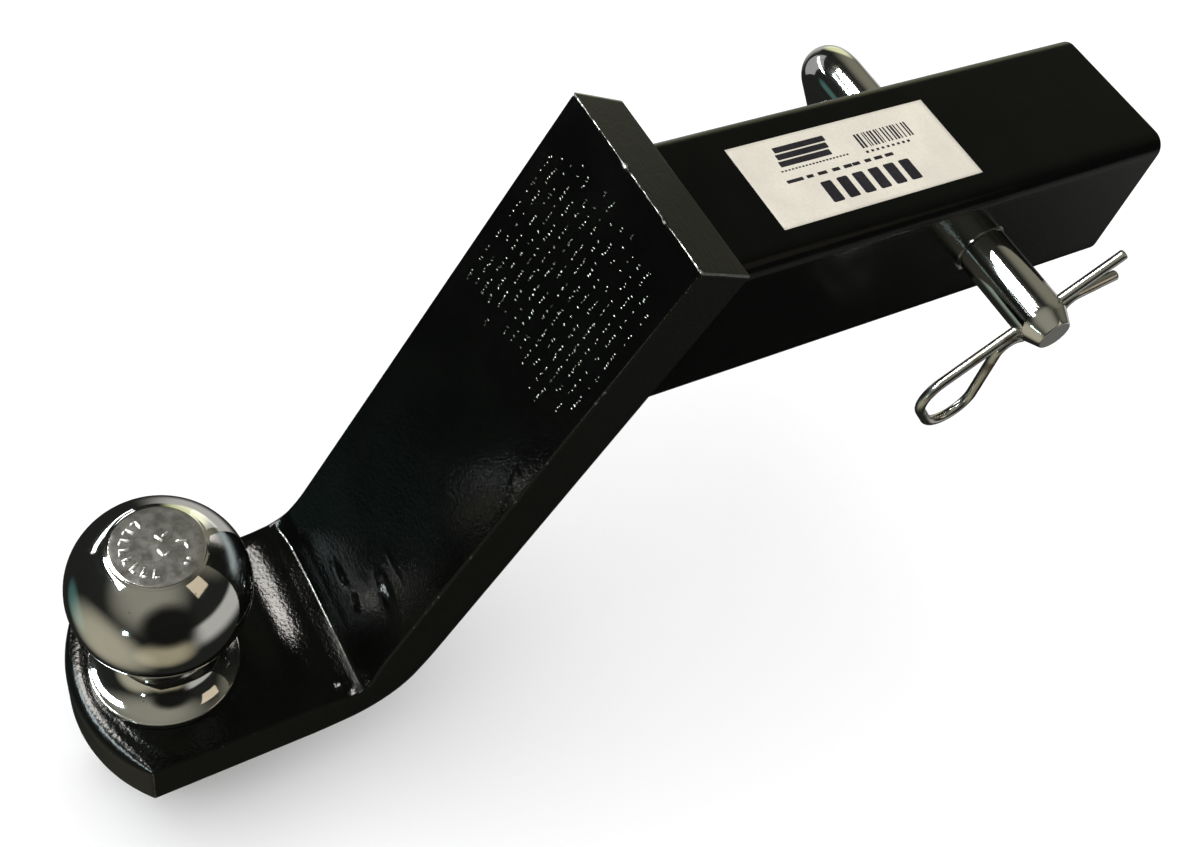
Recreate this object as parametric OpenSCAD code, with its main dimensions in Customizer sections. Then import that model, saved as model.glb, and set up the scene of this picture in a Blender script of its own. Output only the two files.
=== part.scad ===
// Drop ball mount for a 2 inch receiver, with its ball, pin and clip.
// Origin: centre of the shank's pin hole. +X: towards the pin's tip. +Y: along the shank, into
// the receiver. +Z: up, along the ball's axis. All sizes are in millimetres.

/* [Shank] */
// Width across the square shank's flats
shank_w = 50.8; // [42:0.1:62]
// Wall of the hollow shank
shank_wall = 6.35; // [3:0.05:9]
// Radius on the shank's outer corners
shank_corner_r = 5.3; // [3:0.1:8]
// Radius in the shank's inner corners
shank_inner_r = 1.6; // [0.5:0.1:3]
// Pin hole centre to the shank's rear end
shank_tail = 62.7; // [45:0.1:90]
// Pin hole centre to the bar's back face, measured along the shank's axis
shank_reach = 116.4; // [100:0.1:160]

/* [Drop bar] */
// Width of the bent flat bar
bar_w = 65.4; // [60:0.1:80]
// Thickness of the bar
bar_t = 19.05; // [14:0.05:25.4]
// Slope of the bar's leg above the horizontal, in degrees
bar_slope = 66.2; // [60:0.1:80]
// Length of leg that stands above the shank's top face, along the slope
bar_head = 8.6; // [4:0.1:20]
// Drop from the shank's top face to the platform's top face
drop = 152.4; // [120:0.1:200]
// Inside radius of the bend
bend_r = 9; // [4:0.5:16]
// Pin hole centre to the ball's axis
ball_reach = 243.8; // [236:0.1:300]
// Ball's axis to the platform's tip
tip_reach = 28.2; // [25:0.1:45]
// Radius of the platform's rounded tip
tip_r = 48; // [42:0.5:80]
// Gap around the ball's shank in its hole
ball_hole_gap = 0.4; // [0.1:0.1:1]

/* [Welds] */
// Leg length of the fillet welds
weld_leg = 6; // [3:0.5:6.5]

/* [Ball] */
// Diameter of the ball
ball_d = 50.8; // [42:0.1:61]
// Radius of the flat on top of the ball
ball_flat_r = 12.9; // [6:0.1:16]
// Height of the ball's centre above the platform
ball_rise = 46.7; // [42:0.1:60]
// Diameter of the neck
neck_d = 27; // [24:0.5:32]
// Diameter of the flange that sits on the platform
flange_d = 44.4; // [38:0.1:56]
// Height of the flange's straight rim
flange_rim = 2.6; // [1:0.1:5]
// Radius of the hollow sweep between the neck and the rim
flange_sweep_r = 12; // [10:0.5:15]
// Diameter of the threaded shank
stud_d = 25.4; // [19:0.1:26.5]
// Length of the threaded shank below the platform's top face
stud_l = 54; // [50:0.5:80]
// Distance from one thread ridge to the next
thread_pitch = 3.175; // [1.5:0.005:3.5]
// Depth of the thread
thread_depth = 1.6; // [0.5:0.1:2]
// Length of the thread, from the free end up
thread_l = 29; // [22:0.5:32]

/* [Washer and nut] */
// Outer diameter of the lock washer
washer_d = 42; // [36:0.1:46]
// Thickness of the lock washer
washer_t = 6.35; // [3:0.05:8]
// Width of the washer's split
washer_split = 3; // [1:0.5:5]
// Slant of the washer's split, in degrees
washer_slant = 25; // [0:1:35]
// Nut width across its flats
nut_af = 38.1; // [36:0.1:44]
// Height of the nut
nut_h = 21.8; // [18:0.1:24]
// Chamfer on the nut's corners, in degrees
nut_chamfer = 30; // [15:1:40]
// Radial gap between the thread's ridges and the nut or washer
thread_gap = 0.05; // [0.02:0.01:0.2]

/* [Pin] */
// Diameter of the hitch pin
pin_d = 15.88; // [12:0.01:19.1]
// Radial gap between the pin and its holes in the shank
pin_gap = 0.1; // [0.05:0.01:0.1]
// Shank's axis to the pin's flat tip
pin_tip = 61.2; // [56:0.1:100]
// Length of the chamfer at the tip
tip_chamfer_l = 5.6; // [2:0.1:6]
// Radius of the flat tip
tip_flat_r = 5.4; // [3:0.1:7]
// Shank's axis to the start of the bend
pin_bend_at = 50; // [36:0.1:80]
// Radius of the bend, to the pin's centre line
pin_bend_r = 12; // [10:0.5:24]
// Length of the straight handle past the bend
handle_l = 46; // [30:0.5:80]
// Angle of the handle below the horizontal, in degrees
handle_dip = 60; // [0:1:90]
// Chamfer at the handle's end
handle_chamfer = 1.5; // [0.5:0.1:3]

/* [Clip] */
// Diameter of the clip's wire
wire_d = 3.2; // [2.5:0.1:3.6]
// Radial gap between the wire and its hole through the pin
wire_gap = 0.1; // [0.05:0.01:0.1]
// Shank's axis to the clip's plane
clip_at = 53.1; // [49:0.1:80]
// Angle of the clip's straight leg above the horizontal, in degrees
clip_tilt = 38; // [0:1:90]
// Length of the straight leg past the pin's axis
clip_leg = 30; // [20:0.5:40]
// Pin's axis to the start of the loop, along the straight leg
clip_grip = 33.5; // [24:0.5:45]
// Radius of the loop where it leaves the straight leg
loop_r = 9.5; // [7:0.5:14]
// Straight length across the loop's end
loop_side = 8; // [2:0.5:14]
// Radius of the loop where it turns back to the pin
loop_back_r = 9; // [6:0.5:14]
// Slope of the sprung leg as it comes back from the loop, in degrees
spring_slope = 56; // [45:1:65]
// Radius of the sprung leg's bends either side of the pin
spring_bend_r = 5; // [3:0.5:7]
// Gap between the sprung leg and the pin
spring_gap = 0.06; // [0.02:0.01:0.2]
// Angle at which the sprung leg's end flares away, in degrees
flare = 25; // [10:1:40]
// Length of the sprung leg's flared end
flare_l = 14; // [6:0.5:24]

/* [Label] */
// Width of the label across the shank
label_w = 31; // [20:0.5:36]
// Length of the label along the shank
label_l = 71; // [40:0.5:90]
// Thickness of the label
label_t = 0.15; // [0.1:0.05:0.4]
// Pin hole centre to the label's middle, forwards along the shank
label_at = 42.2; // [30:0.1:50]
// Offset of the label's middle towards the pin's tip
label_offset = 1.3; // [-2:0.1:2]

/* [Hidden] */
$fn = 96;

// overshoot of every cutting shape past the surface it cuts
cut = 2;
// a length that is longer than the whole object
far = 400;

shank_half = shank_w / 2;
shank_flat_half = shank_half - shank_corner_r;
platform_z = shank_half - drop;
stud_r = stud_d / 2;
ball_hole_r = stud_r + ball_hole_gap;
nut_hole_r = stud_r + thread_gap;
pin_r = pin_d / 2;
wire_r = wire_d / 2;

// The bar's front face lies one thickness in front of its back face. Lines in the (y, z) plane:
// a point p is on the front face when p * leg_normal equals front_offset.
leg_up = [cos(bar_slope), sin(bar_slope)];
leg_normal = [-sin(bar_slope), cos(bar_slope)];
back_start = [-shank_reach, 0];
front_start = back_start + bar_t * leg_normal;
front_offset = front_start * leg_normal;
// length of leg above the shank's axis, along the slope
head_l = shank_half / sin(bar_slope) + bar_head;
// centre of the bend: one inside radius above the platform and in front of the leg's front face
bend_z = platform_z + bend_r;
bend_y = (front_offset + bend_r - bend_z * leg_normal.y) / leg_normal.x;
bend_c = [bend_y, bend_z];
bend_out_r = bend_r + bar_t;
// flats that make up the bend
bend_steps = 18;
tip_c = -(ball_reach + tip_reach) + tip_r;

// The sprung leg of the clip, in the clip's own plane: x runs along the straight leg, y away from it.
// The leg comes down the slope, turns through spring_bend_r, wraps the pin and turns out again.
wrap_r = pin_r + wire_r + spring_gap;
loop_c = [-clip_grip, loop_r];
back_c = [-clip_grip - loop_r + loop_back_r, loop_r + loop_side];
slope_start = back_c + loop_back_r * [sin(spring_slope), cos(spring_slope)];
slope_dir = [cos(spring_slope), -sin(spring_slope)];
slope_left = [sin(spring_slope), cos(spring_slope)];
// length of the slope: the bend's centre must end wrap_r + spring_bend_r away from the pin's centre
bend_base = slope_start + spring_bend_r * slope_left;
bend_along = bend_base * slope_dir;
bend_gap2 = bend_base * bend_base - pow(wrap_r + spring_bend_r, 2);
slope_l = -bend_along - sqrt(bend_along * bend_along - bend_gap2);
in_c = bend_base + slope_l * slope_dir;
in_angle = atan2(in_c.y, in_c.x);
// the wrap ends at the mirror image of its start
out_angle = 180 - in_angle;
out_c = (wrap_r + spring_bend_r) * [cos(out_angle), sin(out_angle)];
flare_start = out_c + spring_bend_r * [sin(flare), -cos(flare)];
// sides of the wire's section, and degrees of bend between two sections
wire_sides = 16;
wire_step = 9;

// Flat shape of the shank's wall, with its corners rounded
module rounded_square(half, r) {
    square([2 * half, 2 * (half - r)], center = true);
    square([2 * (half - r), 2 * half], center = true);
    for (sx = [-1, 1], sy = [-1, 1])
        translate([sx * (half - r), sy * (half - r)]) circle(r = r);
}

// Stands a flat (x, z) shape up and runs it along the shank from y0 to y1
module along_shank(y0, y1) {
    translate([0, y1, 0]) rotate([90, 0, 0]) linear_extrude(height = y1 - y0) children();
}

// Stands a flat (y, z) shape up and runs it across the object, w wide
module across(w) {
    rotate([90, 0, 90]) linear_extrude(height = w, center = true) children();
}

// Frame of the bar's leg: y = 0 on its back face and pointing out of it, z up the slope
module leg_frame() {
    translate([0, -shank_reach, 0]) rotate([bar_slope - 90, 0, 0]) children();
}

// Frame of the clip: x along its straight leg, y towards its sprung leg
module clip_frame() {
    translate([clip_at, 0, 0]) rotate([clip_tilt - 90, 0, 0]) rotate([0, -90, 0]) children();
}

// ---------------------------------------------------------------------------------------------

module shank_tube() {
    color("#15171a")
    difference() {
        along_shank(-far / 2, shank_tail) rounded_square(shank_half, shank_corner_r);
        along_shank(-far, shank_tail + cut) rounded_square(shank_half - shank_wall, shank_inner_r);
        // mitre: everything in front of the bar's back face is cut off
        leg_frame() translate([-far / 2, -far, -far / 2]) cube([far, far, far]);
        rotate([0, 90, 0]) cylinder(r = pin_r + pin_gap, h = shank_w + 2 * cut, center = true);
    }
}

// Points along an arc about c, from angle a0 to angle a1
function arc(c, r, a0, a1) =
    [for (i = [0 : bend_steps]) let (a = a0 + (a1 - a0) * i / bend_steps) c + r * [cos(a), sin(a)]];

// Side view of the bar: slanted leg, bend and level platform, as one outline
module bar_side() {
    tip = [-ball_reach - tip_reach, platform_z];
    polygon(concat(
        [back_start + head_l * leg_up, front_start + head_l * leg_up],
        arc(bend_c, bend_r, bar_slope - 90, -90),
        [tip, tip - [0, bar_t]],
        arc(bend_c, bend_out_r, -90, bar_slope - 90)
    ));
}

// View of the bar from above: straight sides and a rounded tip that meets them at a corner
module bar_plan() {
    intersection() {
        translate([0, tip_c]) circle(r = tip_r);
        translate([-bar_w / 2, tip_c - tip_r]) square([bar_w, tip_r]);
    }
    translate([-bar_w / 2, tip_c]) square([bar_w, far]);
}

module drop_bar() {
    color("#121416")
    difference() {
        intersection() {
            across(bar_w) bar_side();
            translate([0, 0, -far]) linear_extrude(height = 2 * far) bar_plan();
        }
        translate([0, -ball_reach, platform_z - bar_t - cut])
            cylinder(r = ball_hole_r, h = bar_t + 2 * cut);
    }
}

// Cross-section of a fillet weld in the corner between two faces that open by angle
module weld_section(angle, leg) {
    intersection() {
        circle(r = leg);
        polygon([
            [0, 0],
            2 * leg * [1, 0],
            2 * leg * [cos(angle / 2), sin(angle / 2)],
            2 * leg * [cos(angle), sin(angle)]
        ]);
    }
}

// Where the bar's back face meets the height z
function back_y(z) = -shank_reach + z / tan(bar_slope);

module weld_top() {
    color("#1b1d20")
    translate([0, back_y(shank_half), shank_half])
        across(2 * shank_flat_half) weld_section(bar_slope, min(weld_leg, bar_head));
}

module weld_bottom() {
    color("#1b1d20")
    translate([0, back_y(-shank_half), -shank_half])
        across(2 * shank_flat_half) mirror([0, 1]) weld_section(180 - bar_slope, weld_leg);
}

// Weld down one side of the shank, from the top flat's edge to the bottom flat's
module weld_side() {
    run = 2 * shank_flat_half / sin(bar_slope);
    leg = min(weld_leg, bar_w / 2 - shank_half);
    leg_frame() translate([shank_half, 0, -run / 2])
        linear_extrude(height = run) weld_section(90, leg);
}

module weld_near() {
    color("#1b1d20") weld_side();
}

module weld_far() {
    color("#1b1d20") mirror([1, 0, 0]) weld_side();
}

// Half outline of the flange and neck: rim, hollow sweep and neck, up to height h
module flange_half(h) {
    sweep_c = [neck_d / 2 + flange_sweep_r, 0];
    sweep_in = sweep_c.x - flange_d / 2;
    sweep_z = flange_rim + sqrt(pow(flange_sweep_r, 2) - pow(sweep_in, 2));
    difference() {
        square([flange_d / 2, sweep_z]);
        translate([sweep_c.x, sweep_z]) circle(r = flange_sweep_r);
    }
    square([neck_d / 2, h]);
}

// Half outline of the threaded shank, hanging down from z = 0
module stud_half() {
    ridges = floor(thread_l / thread_pitch);
    plain_l = stud_l - ridges * thread_pitch;
    root_r = stud_r - thread_depth;
    translate([0, -plain_l]) square([stud_r, plain_l]);
    for (i = [0 : ridges - 1])
        polygon([
            [0, -plain_l - i * thread_pitch],
            [stud_r, -plain_l - i * thread_pitch],
            [root_r, -plain_l - (i + 0.5) * thread_pitch],
            [stud_r, -plain_l - (i + 1) * thread_pitch],
            [0, -plain_l - (i + 1) * thread_pitch]
        ]);
}

module trailer_ball() {
    flat_z = sqrt(pow(ball_d / 2, 2) - pow(ball_flat_r, 2));
    color("#c9ccd0")
    translate([0, -ball_reach, platform_z]) {
        rotate_extrude() flange_half(ball_rise);
        translate([0, 0, ball_rise])
            intersection() {
                sphere(d = ball_d);
                translate([-ball_d, -ball_d, flat_z - 2 * ball_d]) cube(2 * ball_d);
            }
        rotate_extrude() stud_half();
    }
}

module lock_washer() {
    color("#8d9196")
    translate([0, -ball_reach, platform_z - bar_t - washer_t])
        difference() {
            cylinder(d = washer_d, h = washer_t);
            translate([0, 0, -cut]) cylinder(r = nut_hole_r, h = washer_t + 2 * cut);
            translate([0, 0, washer_t / 2]) rotate([washer_slant, 0, 0])
                translate([0, -washer_split / 2, -washer_d])
                cube([washer_d, washer_split, 2 * washer_d]);
        }
}

module hex_nut() {
    corner_r = nut_af / 2 / cos(30);
    chamfer_h = (corner_r - nut_af / 2) * tan(nut_chamfer);
    color("#9a9da1")
    translate([0, -ball_reach, platform_z - bar_t - washer_t - nut_h])
        difference() {
            intersection() {
                cylinder(r = corner_r, h = nut_h, $fn = 6);
                rotate_extrude() polygon([
                    [0, 0],
                    [nut_af / 2, 0],
                    [corner_r + 1, chamfer_h + tan(nut_chamfer)],
                    [corner_r + 1, nut_h - chamfer_h - tan(nut_chamfer)],
                    [nut_af / 2, nut_h],
                    [0, nut_h]
                ]);
            }
            translate([0, 0, -cut]) cylinder(r = nut_hole_r, h = nut_h + 2 * cut);
        }
}

module hitch_pin() {
    chamfer_at = pin_tip - tip_chamfer_l;
    bend_x = -pin_bend_at;
    color("#c6c9cc")
    difference() {
        // laid out with the handle along +Y, then dipped about the pin's axis
        rotate([-handle_dip, 0, 0]) {
            translate([bend_x, 0, 0]) rotate([0, 90, 0]) cylinder(r = pin_r, h = chamfer_at - bend_x);
            translate([chamfer_at, 0, 0]) rotate([0, 90, 0])
                cylinder(r1 = pin_r, r2 = tip_flat_r, h = tip_chamfer_l);
            translate([bend_x, pin_bend_r, 0]) rotate([0, 0, 180])
                rotate_extrude(angle = 90) translate([pin_bend_r, 0]) circle(r = pin_r);
            translate([bend_x - pin_bend_r, pin_bend_r, 0]) rotate([-90, 0, 0]) {
                cylinder(r = pin_r, h = handle_l - handle_chamfer);
                translate([0, 0, handle_l - handle_chamfer])
                    cylinder(r1 = pin_r, r2 = pin_r - handle_chamfer, h = handle_chamfer);
            }
        }
        clip_frame() rotate([0, 90, 0])
            cylinder(r = wire_r + wire_gap, h = pin_d + 2 * cut, center = true);
    }
}

// Stations [x, y, heading] round a bend of the wire about c, from heading h0 to heading h1.
// A bend whose heading grows turns left, and has its centre on the wire's left.
function wire_bend(c, r, h0, h1) =
    let (steps = ceil(abs(h1 - h0) / wire_step), side = sign(h1 - h0))
    [for (i = [0 : steps]) let (h = h0 + (h1 - h0) * i / steps) concat(c + side * r * [sin(h), -cos(h)], h)];

// All but the first and last of a list's members
function inner(list) = [for (i = [1 : len(list) - 2]) list[i]];

// The clip's whole wire: straight leg, loop, slope, wrap round the pin and flared end
function wire_stations() = concat(
    [[clip_leg, 0, 180]],
    wire_bend(loop_c, loop_r, 180, 90),
    wire_bend(back_c, loop_back_r, 90, -spring_slope),
    wire_bend(in_c, spring_bend_r, -spring_slope, in_angle - 90),
    inner(wire_bend([0, 0], wrap_r, in_angle - 90, out_angle - 90)),
    wire_bend(out_c, spring_bend_r, out_angle - 90, flare),
    [concat(flare_start + flare_l * [cos(flare), sin(flare)], flare)]
);

module hairpin_clip() {
    stations = wire_stations();
    n = len(stations);
    points = [
        for (s = stations, k = [0 : wire_sides - 1])
            let (a = 360 * k / wire_sides)
            [s.x - wire_r * cos(a) * sin(s[2]), s.y + wire_r * cos(a) * cos(s[2]), wire_r * sin(a)]
    ];
    sides = [
        for (i = [0 : n - 2], k = [0 : wire_sides - 1])
            let (next = (k + 1) % wire_sides)
            [i * wire_sides + k, i * wire_sides + next, (i + 1) * wire_sides + next, (i + 1) * wire_sides + k]
    ];
    ends = [
        [for (k = [wire_sides - 1 : -1 : 0]) k],
        [for (k = [0 : wire_sides - 1]) (n - 1) * wire_sides + k]
    ];
    color("#c2c5c8")
    clip_frame() polyhedron(points = points, faces = concat(sides, ends));
}

module shank_label() {
    color("#e9e6df")
    translate([label_offset - label_w / 2, -label_at - label_l / 2, shank_half])
        cube([label_w, label_l, label_t]);
}

shank_tube();
drop_bar();
weld_top();
weld_bottom();
weld_near();
weld_far();
trailer_ball();
lock_washer();
hex_nut();
hitch_pin();
hairpin_clip();
shank_label();
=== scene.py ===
"""Drop ball mount with its ball, pin and clip: the looks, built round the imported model.

Sizes are in millimetres in the row frame, and every mesh is made in metres at the end.
"""

import math

import bmesh
import bpy
import numpy as np
from mathutils import Matrix, Vector


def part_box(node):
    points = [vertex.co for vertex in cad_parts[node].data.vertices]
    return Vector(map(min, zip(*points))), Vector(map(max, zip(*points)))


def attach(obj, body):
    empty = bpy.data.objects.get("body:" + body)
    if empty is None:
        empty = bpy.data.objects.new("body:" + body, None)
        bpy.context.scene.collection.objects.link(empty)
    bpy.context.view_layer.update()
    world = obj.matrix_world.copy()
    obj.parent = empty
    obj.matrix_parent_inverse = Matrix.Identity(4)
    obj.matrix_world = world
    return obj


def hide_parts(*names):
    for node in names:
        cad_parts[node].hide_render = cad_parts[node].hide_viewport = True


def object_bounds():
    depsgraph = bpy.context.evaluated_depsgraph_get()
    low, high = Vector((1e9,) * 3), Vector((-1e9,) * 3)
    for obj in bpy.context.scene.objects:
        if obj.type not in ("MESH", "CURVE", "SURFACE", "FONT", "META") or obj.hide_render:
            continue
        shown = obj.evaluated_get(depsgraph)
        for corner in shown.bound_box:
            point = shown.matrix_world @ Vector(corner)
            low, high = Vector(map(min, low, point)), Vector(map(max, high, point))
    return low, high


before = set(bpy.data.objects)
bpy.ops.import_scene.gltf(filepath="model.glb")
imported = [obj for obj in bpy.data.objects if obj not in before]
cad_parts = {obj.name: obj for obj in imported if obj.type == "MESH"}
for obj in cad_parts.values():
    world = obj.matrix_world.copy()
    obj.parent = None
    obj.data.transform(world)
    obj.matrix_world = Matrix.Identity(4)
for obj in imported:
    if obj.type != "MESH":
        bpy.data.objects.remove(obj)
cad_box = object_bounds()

scene = bpy.context.scene
scene.view_settings.view_transform = "Standard"

# ---- camera ----------------------------------------------------------------------------------
# A hand-held view from above the coupler end, with the camera tilted on its side, so that the
# shank runs up to the right.
camera_at = (0.198032, -0.301086, 0.290128)
camera_azimuth = math.radians(44.8326)
camera_elevation = math.radians(52.3181)
camera_roll = math.radians(19.6277)
camera_lens = 43.517

level_right = Vector((math.cos(camera_azimuth), math.sin(camera_azimuth), 0))
backwards = Vector((
    math.sin(camera_azimuth) * math.cos(camera_elevation),
    -math.cos(camera_azimuth) * math.cos(camera_elevation),
    math.sin(camera_elevation),
))
level_up = backwards.cross(level_right)
view_right = level_right * math.cos(camera_roll) + level_up * math.sin(camera_roll)
view_up = level_up * math.cos(camera_roll) - level_right * math.sin(camera_roll)
camera = bpy.data.objects.new("camera", bpy.data.cameras.new("camera"))
camera.data.lens = camera_lens
camera.data.sensor_width = 36
camera.data.clip_start = 0.01
camera.data.clip_end = 50
camera.matrix_world = Matrix.Translation(camera_at) @ Matrix(
    (view_right, view_up, backwards)).transposed().to_4x4()
scene.collection.objects.link(camera)
scene.camera = camera


# ---- studio ----------------------------------------------------------------------------------
# A pale floor under the stud's end, a wide overhead fill that lights it evenly, and softboxes
# that the enamel and the chrome mirror.
def add_node(tree, kind, values=(), **settings):
    """Adds one shader node; values are (socket, value) pairs, and a value that is a socket is linked."""
    made = tree.nodes.new(kind)
    for key, value in settings.items():
        setattr(made, key, value)
    for socket, value in values:
        if isinstance(value, bpy.types.NodeSocket):
            tree.links.new(value, made.inputs[socket])
        else:
            made.inputs[socket].default_value = value
    return made


floor_z = cad_box[0].z - 0.0004
floor_size = 30
floor_mesh = bpy.data.meshes.new("floor")
floor_corners = np.array([[-1, -1, 0], [1, -1, 0], [1, 1, 0], [-1, 1, 0]]) * floor_size / 2
floor_corners[:, 2] = floor_z
floor_mesh.from_pydata(floor_corners.tolist(), [], [[0, 1, 2, 3]])
floor = bpy.data.objects.new("floor", floor_mesh)
scene.collection.objects.link(floor)
floor.visible_glossy = False

pale = bpy.data.materials.new("pale_floor")
pale.use_nodes = True
pale.node_tree.nodes.clear()
pale_noise = add_node(pale.node_tree, "ShaderNodeTexNoise", [("Scale", 3.0), ("Detail", 4.0)])
pale_colour = add_node(pale.node_tree, "ShaderNodeMix", [
    ("Factor", pale_noise.outputs["Fac"]), ("A", (0.80, 0.80, 0.80, 1)), ("B", (0.84, 0.84, 0.84, 1))],
    data_type="RGBA")
pale_diffuse = add_node(pale.node_tree, "ShaderNodeBsdfDiffuse", [("Color", pale_colour.outputs["Result"])])
# seen from underneath, the floor lets the underside of the object show
pale_side = add_node(pale.node_tree, "ShaderNodeNewGeometry")
pale_clear = add_node(pale.node_tree, "ShaderNodeBsdfTransparent")
pale_mix = add_node(pale.node_tree, "ShaderNodeMixShader", [
    (0, pale_side.outputs["Backfacing"]), (1, pale_diffuse.outputs[0]), (2, pale_clear.outputs[0])])
add_node(pale.node_tree, "ShaderNodeOutputMaterial", [("Surface", pale_mix.outputs[0])])
floor_mesh.materials.append(pale)

fill = bpy.data.objects.new("fill", bpy.data.lights.new("fill", "SUN"))
fill.data.energy = 1.5
fill.data.angle = math.radians(70)
fill.rotation_euler = (math.radians(14), math.radians(-8), 0)
fill.visible_glossy = False
scene.collection.objects.link(fill)

aim = Vector((0, -0.12, -0.06))


def softbox(name, towards, length_way, distance, width, length, radiance, tint):
    """Area light that faces the object from the direction towards. Its long side runs as near to length_way as
    it can, square to that direction. Its power is its radiance times pi times its area."""
    back = Vector(towards).normalized()
    up = (Vector(length_way) - Vector(length_way).dot(back) * back).normalized()
    lamp = bpy.data.lights.new(name, "AREA")
    lamp.shape = "RECTANGLE"
    lamp.size, lamp.size_y = width, length
    lamp.energy = radiance * math.pi * width * length
    lamp.color = tint
    made = bpy.data.objects.new(name, lamp)
    made.matrix_world = Matrix.Translation(aim + back * distance) @ Matrix(
        (up.cross(back), up, back)).transposed().to_4x4()
    made.visible_camera = False
    made.visible_diffuse = False
    scene.collection.objects.link(made)


softbox("ceiling_window", (-0.42, -0.42, 0.80), (0, 1, 0.5), 1.2, 0.30, 0.56, 36, (1.0, 0.97, 0.91))
softbox("sky_window", (-0.24, -0.77, 0.59), (1, 0, 0), 1.2, 0.22, 0.85, 28, (0.84, 0.98, 1.0))
softbox("left_window", (-0.92, -0.38, 0.07), (-0.38, 0.92, 0), 1.2, 0.09, 0.92, 16, (0.93, 0.96, 1.0))
softbox("warm_card", (0.60, 0.50, 0.62), (0, 0, 1), 1.2, 0.44, 0.50, 0.66, (1.0, 0.84, 0.62))
softbox("elbow_card", (-0.162, 0.072, 0.024), (0, 0, 1), 0.18, 0.10, 0.14, 0.35, (0.98, 0.98, 1.0))
softbox("low_spot", (0.51, -0.85, -0.10), (0, 0, 1), 0.8, 0.05, 0.05, 25, (0.70, 1.0, 0.98))

world = bpy.data.worlds.new("room")
world.use_nodes = True
room = world.node_tree
room.nodes.clear()
scene.world = world
room_way = add_node(room, "ShaderNodeTexCoord").outputs["Generated"]
room_axes = add_node(room, "ShaderNodeSeparateXYZ", [(0, room_way)])


def room_step(value, first, last):
    """Mask that rises smoothly from 0 where value is first to 1 where it is last."""
    return add_node(room, "ShaderNodeMapRange", [(0, value), ("From Min", first), ("From Max", last)],
                    interpolation_type="SMOOTHSTEP").outputs[0]


def room_facing(towards, inner, outer):
    """Mask that is 1 within inner degrees of a direction and 0 beyond outer degrees."""
    nearness = add_node(room, "ShaderNodeVectorMath", [(0, room_way), (1, Vector(towards).normalized())],
                        operation="DOT_PRODUCT").outputs["Value"]
    return room_step(nearness, math.cos(math.radians(outer)), math.cos(math.radians(inner)))


def room_add(light, mask, colour):
    """Adds colour times the mask to the light that the room sends so far."""
    return add_node(room, "ShaderNodeMix", [("Factor", mask), ("A", light), ("B", (*colour, 1))],
                    data_type="RGBA", blend_type="ADD").outputs["Result"]


room_band = room_step(room_axes.outputs["Z"], -0.02, -0.15)
for axis_name, first, last in (("Z", -0.70, -0.42), ("Y", 0.10, 0.45)):
    band_edge = room_step(room_axes.outputs[axis_name], first, last)
    room_band = add_node(room, "ShaderNodeMath", [(0, room_band), (1, band_edge)],
                         operation="MULTIPLY").outputs[0]
room_light = room_add((0.016, 0.017, 0.015, 1), room_band, (0.46, 0.45, 0.43))
for towards, inner, outer, colour in (
        ((-0.30, 0.75, 0.55), 10, 50, (0.19, 0.18, 0.135)),
        ((-0.78, 0.61, 0.10), 9, 20, (0.75, 0.78, 0.46)),
        ((0.52, -0.42, 0.74), 6, 58, (0.26, 0.25, 0.205)),
        ((0.20, -0.78, -0.60), 10, 43, (0.40, 0.375, 0.29)),
        ((0.80, -0.20, -0.57), 5, 30, (0.34, 0.30, 0.20)),
        ((-0.40, -0.72, -0.56), 4, 18, (0.05, 0.13, 0.12))):
    room_light = room_add(room_light, room_facing(towards, inner, outer), colour)
# a dark figure stands in front of the pale wall
figure = room_facing((0.976, -0.177, 0.125), 19, 38)
room_light = add_node(room, "ShaderNodeMix", [
    ("Factor", figure), ("A", room_light), ("B", (0.008, 0.008, 0.007, 1))],
    data_type="RGBA").outputs["Result"]
room_dim = add_node(room, "ShaderNodeBackground", [("Color", room_light), ("Strength", 1.0)])
room_pale = add_node(room, "ShaderNodeBackground", [("Color", (1, 1, 1, 1)), ("Strength", 1.0)])
room_ray = add_node(room, "ShaderNodeLightPath")
room_mix = add_node(room, "ShaderNodeMixShader", [
    (0, room_ray.outputs["Is Glossy Ray"]), (1, room_pale.outputs[0]), (2, room_dim.outputs[0])])
add_node(room, "ShaderNodeOutputWorld", [("Surface", room_mix.outputs[0])])

# ---- shank -----------------------------------------------------------------------------------
# The shank is a length of 2 inch square steel tube, mitred at the front to lie on the bar, cut
# square at the back and bored through for the pin. It is sprayed with black enamel.
MM = 0.001


def quads(rows, cols, wrap=False):
    """Point numbers of each quad on a grid of rows by cols; wrap joins the last column to the first."""
    i, j = np.meshgrid(np.arange(rows - 1), np.arange(cols if wrap else cols - 1), indexing="ij")
    k = (j + 1) % cols
    return np.stack([i * cols + j, i * cols + k, (i + 1) * cols + k, (i + 1) * cols + j], -1).reshape(-1, 4)


def joined(*grids):
    """Points and faces of several grids as one mesh. Each comes with whether its rows are closed rings."""
    points = np.concatenate([grid.reshape(-1, 3) for grid, closed in grids])
    starts = np.cumsum([0] + [grid.shape[0] * grid.shape[1] for grid, closed in grids])
    faces = [quads(*grid.shape[:2], closed) + start for (grid, closed), start in zip(grids, starts)]
    return points, np.concatenate(faces).tolist()


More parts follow.
